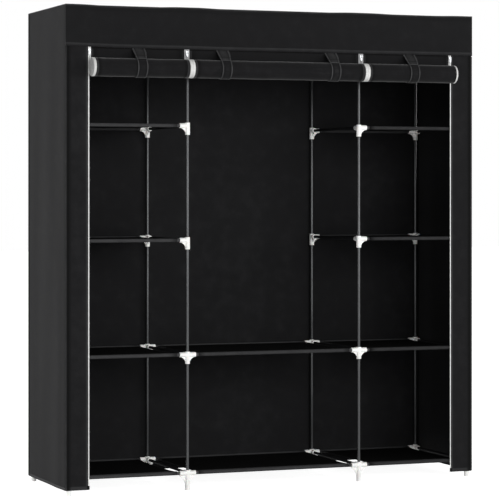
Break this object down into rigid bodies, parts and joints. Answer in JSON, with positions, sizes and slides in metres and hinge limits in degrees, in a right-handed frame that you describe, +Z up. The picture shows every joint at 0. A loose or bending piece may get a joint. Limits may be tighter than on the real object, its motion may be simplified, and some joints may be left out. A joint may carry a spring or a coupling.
{
  "type": "portable fabric wardrobe",
  "caption": "Free-standing wardrobe: steel tubes in plastic joints, cloth shelves and a hanging bay, under a zipped cloth cover with roll-up doors.",
  "frame": {"origin": "on the floor, under the middle of the whole object's box", "axes": "+Z up, +X to the right and +Y to the back as seen from the front, where the doors are"},
  "size_m": [1.5, 0.5148, 1.63],
  "materials": {
    "steel_tube": "grey powder coat, satin",
    "white_plastic": "moulded, satin",
    "shelf_cloth": "black non-woven cloth",
    "cover_cloth": "black non-woven cloth",
    "strap_webbing": "black folded cloth band",
    "zip_tape": "white woven tape",
    "zip_metal": "bright nickel plate"
  },
  "bodies": {
    "root": {"post_front_left_outer": "steel_tube", "post_front_left_inner": "steel_tube", "post_front_right_inner": "steel_tube", "post_front_right_outer": "steel_tube", "post_back_left_outer": "steel_tube", "post_back_left_inner": "steel_tube", "post_back_right_inner": "steel_tube", "post_back_right_outer": "steel_tube", "rung_left_outer_1": "white_plastic", "rung_left_outer_2": "white_plastic", "rung_left_outer_3": "white_plastic", "rung_left_outer_4": "white_plastic", "rung_left_inner_1": "white_plastic", "rung_left_inner_2": "white_plastic", "rung_left_inner_3": "white_plastic", "rung_left_inner_4": "white_plastic", "rung_right_inner_1": "white_plastic", "rung_right_inner_2": "white_plastic", "rung_right_inner_3": "white_plastic", "rung_right_inner_4": "white_plastic", "rung_right_outer_1": "white_plastic", "rung_right_outer_2": "white_plastic", "rung_right_outer_3": "white_plastic", "rung_right_outer_4": "white_plastic", "top_frame": "white_plastic", "hanging_rail": "steel_tube", "shelf_left_1": "shelf_cloth", "shelf_left_2": "shelf_cloth", "shelf_left_3": "shelf_cloth", "shelf_left_4": "shelf_cloth", "shelf_centre_1": "shelf_cloth", "shelf_centre_2": "shelf_cloth", "shelf_right_1": "shelf_cloth", "shelf_right_2": "shelf_cloth", "shelf_right_3": "shelf_cloth", "shelf_right_4": "shelf_cloth", "cover_back": "cover_cloth", "cover_left_side": "cover_cloth", "cover_right_side": "cover_cloth", "cover_top": "cover_cloth", "cover_valance": "cover_cloth", "strap_left": "strap_webbing", "strap_centre_left": "strap_webbing", "strap_centre_right": "strap_webbing", "strap_right": "strap_webbing", "zip_left_outer": "zip_tape", "zip_left_inner": "zip_tape", "zip_right_inner": "zip_tape", "zip_right_outer": "zip_tape"},
    "door_left": {"door_left": "cover_cloth"},
    "door_centre": {"door_centre": "cover_cloth"},
    "door_right": {"door_right": "cover_cloth"},
    "slider_left_outer": {"zip_slider_left_outer": "zip_metal"},
    "slider_left_inner": {"zip_slider_left_inner": "zip_metal"},
    "slider_right_inner": {"zip_slider_right_inner": "zip_metal"},
    "slider_right_outer": {"zip_slider_right_outer": "zip_metal"},
    "pull_left_outer": {"zip_pull_left_outer": "zip_metal"},
    "pull_left_inner": {"zip_pull_left_inner": "zip_metal"},
    "pull_right_inner": {"zip_pull_right_inner": "zip_metal"},
    "pull_right_outer": {"zip_pull_right_outer": "zip_metal"}
  },
  "joints": [
    {"name": "door_left_lower", "type": "slide", "parent": "root", "child": "door_left", "axis": [0, 0, -1], "range_m": [0, 1.362], "deforming": ["strap_left"]},
    {"name": "door_centre_lower", "type": "slide", "parent": "root", "child": "door_centre", "axis": [0, 0, -1], "range_m": [0, 1.362], "deforming": ["strap_centre_left", "strap_centre_right"]},
    {"name": "door_right_lower", "type": "slide", "parent": "root", "child": "door_right", "axis": [0, 0, -1], "range_m": [0, 1.362], "deforming": ["strap_right"]},
    {"name": "slider_left_outer_run", "type": "slide", "parent": "root", "child": "slider_left_outer", "axis": [0, 0, -1], "range_m": [0, 0.012]},
    {"name": "pull_left_outer_swing", "type": "hinge", "parent": "slider_left_outer", "child": "pull_left_outer", "pos_m": [-0.6646, -0.19347, 1.478], "axis": [-1, 0, 0], "range_deg": [0, 150]},
    {"name": "slider_left_inner_run", "type": "slide", "parent": "root", "child": "slider_left_inner", "axis": [0, 0, -1], "range_m": [0, 0.012]},
    {"name": "pull_left_inner_swing", "type": "hinge", "parent": "slider_left_inner", "child": "pull_left_inner", "pos_m": [-0.3215, -0.19347, 1.478], "axis": [-1, 0, 0], "range_deg": [0, 150]},
    {"name": "slider_right_inner_run", "type": "slide", "parent": "root", "child": "slider_right_inner", "axis": [0, 0, -1], "range_m": [0, 0.012]},
    {"name": "pull_right_inner_swing", "type": "hinge", "parent": "slider_right_inner", "child": "pull_right_inner", "pos_m": [0.3215, -0.19347, 1.478], "axis": [-1, 0, 0], "range_deg": [0, 150]},
    {"name": "slider_right_outer_run", "type": "slide", "parent": "root", "child": "slider_right_outer", "axis": [0, 0, -1], "range_m": [0, 0.012]},
    {"name": "pull_right_outer_swing", "type": "hinge", "parent": "slider_right_outer", "child": "pull_right_outer", "pos_m": [0.6646, -0.19347, 1.478], "axis": [-1, 0, 0], "range_deg": [0, 150]}
  ]
}
